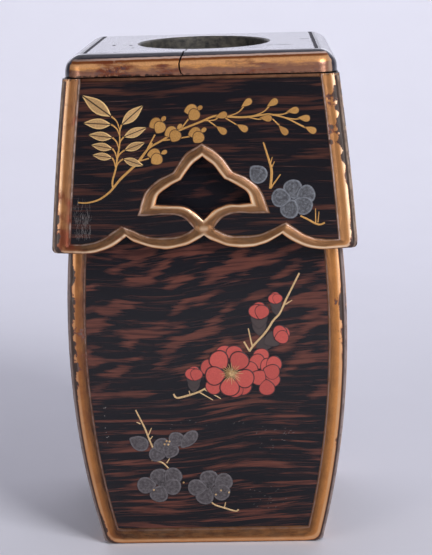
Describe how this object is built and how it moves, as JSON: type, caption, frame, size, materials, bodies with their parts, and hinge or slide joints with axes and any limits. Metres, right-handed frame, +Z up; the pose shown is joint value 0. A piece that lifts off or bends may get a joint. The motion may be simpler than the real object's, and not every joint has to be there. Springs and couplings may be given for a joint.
{
  "type": "lacquer box",
  "caption": "Square upright lacquer box with bowed sides and a loose flared cover that has trefoil openings and an oval hole in its top.",
  "frame": {"origin": "middle of the box's flat underside", "axes": "+Z up through the middle of the box, the painted side shown first faces -Y, +X to its right"},
  "size_m": [0.071, 0.071, 0.12],
  "materials": {
    "case_lacquer": "black lacquer imitating grained wood, painted sprays, gold frame",
    "cover_lacquer": "black lacquer imitating grained wood, painted sprays, gold mouldings",
    "board_lacquer": "glossy black lacquer with a worn gold edge"
  },
  "bodies": {
    "root": {"box_body": "case_lacquer", "cover_skirt": "cover_lacquer", "cover_top_board": "board_lacquer"}
  },
  "joints": []
}
